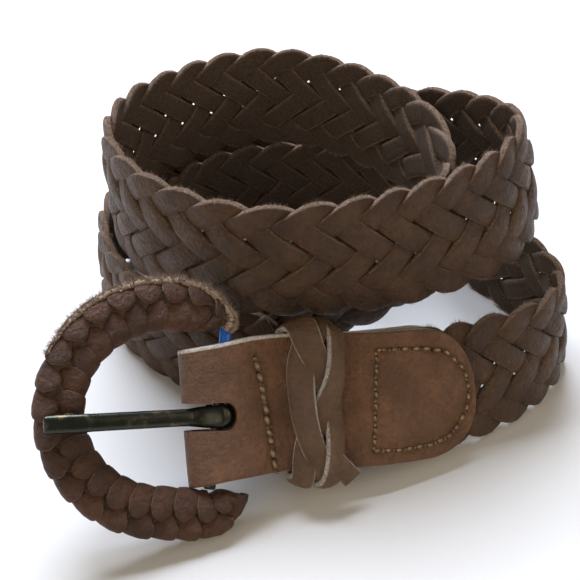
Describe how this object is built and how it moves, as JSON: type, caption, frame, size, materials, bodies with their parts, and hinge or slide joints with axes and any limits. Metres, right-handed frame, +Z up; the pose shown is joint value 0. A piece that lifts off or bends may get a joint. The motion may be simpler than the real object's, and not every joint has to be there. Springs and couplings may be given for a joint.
{
  "type": "braided leather belt",
  "caption": "Braided leather belt lying in a loose coil, with a leather-laced D buckle, a prong, a folded smooth tab and a braided keeper loop.",
  "frame": {"origin": "centre of the base of the whole belt's box, on the surface that it lies on", "axes": "+Z up, +X to the right and +Y to the back as seen from the side where the buckle lies in front, +Y along the longest side of the coil with its buckle"},
  "size_m": [0.1472, 0.1572, 0.0719],
  "materials": {
    "braided_leather": "waxed brown strips with pale suede cut edges",
    "smooth_leather": "satin brown, finely wrinkled",
    "keeper_leather": "satin brown strips with pale suede cut edges",
    "laced_leather": "satin brown lacing with a low gloss",
    "blue_coated_wire": "glossy blue coat",
    "dark_metal": "dark antique gloss, worn lighter on its edges"
  },
  "bodies": {
    "strap": {"braided_strap": "braided_leather", "buckle_tab": "smooth_leather", "keeper": "keeper_leather"},
    "buckle": {"buckle_wrap": "laced_leather", "crossbar": "blue_coated_wire"},
    "prong": {"prong": "dark_metal"}
  },
  "joints": [
    {"name": "buckle_swing", "type": "hinge", "parent": "strap", "child": "buckle", "pos_m": [-0.02925, -0.05318, 0.02367], "axis": [0.0946, 0.6997, 0.7081], "range_deg": [0, 35]},
    {"name": "prong_swing", "type": "hinge", "parent": "buckle", "child": "prong", "pos_m": [-0.02925, -0.05318, 0.02367], "axis": [0.0946, 0.6997, 0.7081], "range_deg": [0, 65]}
  ]
}
